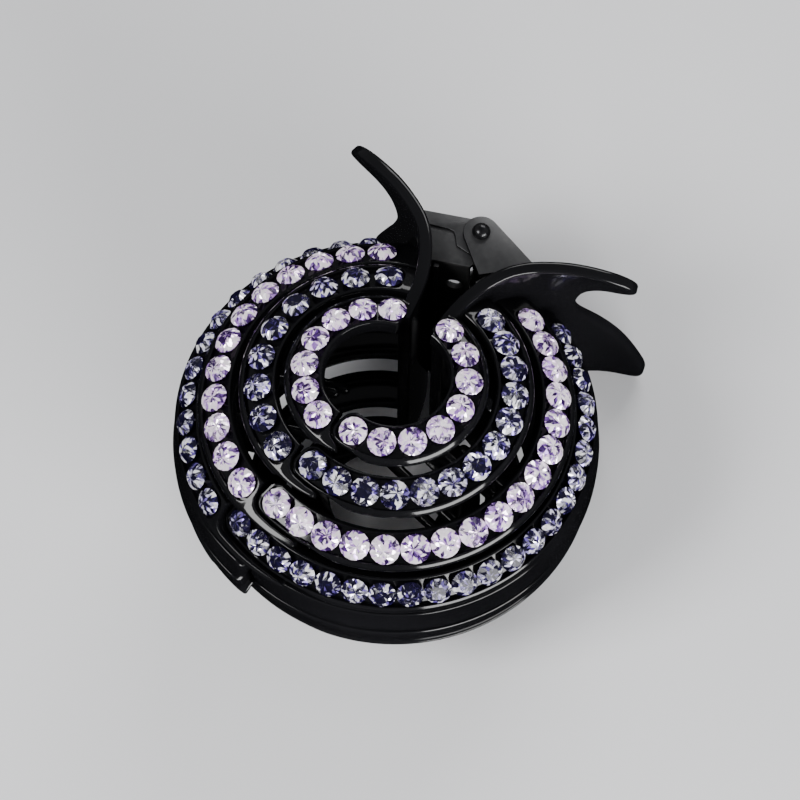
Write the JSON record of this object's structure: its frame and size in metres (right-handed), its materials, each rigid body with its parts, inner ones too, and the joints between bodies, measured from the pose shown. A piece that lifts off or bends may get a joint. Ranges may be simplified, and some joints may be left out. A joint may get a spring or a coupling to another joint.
{
  "type": "hair clip",
  "caption": "Round two-jaw claw clip for gathered hair, glossy plastic with curved stone-set teeth and a sprung metal hinge.",
  "frame": {"origin": "on the axis of the closed ball of teeth, at the level on which the clip stands", "axes": "+Z along the hinge axis towards the stone-set end, +Y from the ball's axis towards the hinge, X across the two jaws"},
  "size_m": [0.0616, 0.0692, 0.0454],
  "materials": {
    "black_plastic": "polished moulded plastic",
    "dark_metal": "satin black coating",
    "spring_steel": "satin",
    "lilac_stone": "cut and foil-backed",
    "violet_stone": "cut and foil-backed"
  },
  "bodies": {
    "left": {"left_jaw": "black_plastic", "left_bracket": "dark_metal", "hinge_pin": "dark_metal", "torsion_spring": "spring_steel", "left_stones_row_1": "lilac_stone", "left_stones_row_2": "violet_stone", "left_stones_row_3": "lilac_stone", "left_stones_row_4": "violet_stone"},
    "right": {"right_jaw": "black_plastic", "right_bracket": "dark_metal", "right_stones_row_1": "lilac_stone", "right_stones_row_2": "violet_stone", "right_stones_row_3": "lilac_stone", "right_stones_row_4": "violet_stone"}
  },
  "joints": [
    {"name": "jaw_hinge", "type": "hinge", "parent": "left", "child": "right", "pos_m": [0, 0.0273, 0.02226], "axis": [0, 0, 1], "range_deg": [0, 45], "stiffness_Nm_per_rad": 0.12, "springref_deg": -68.75}
  ]
}
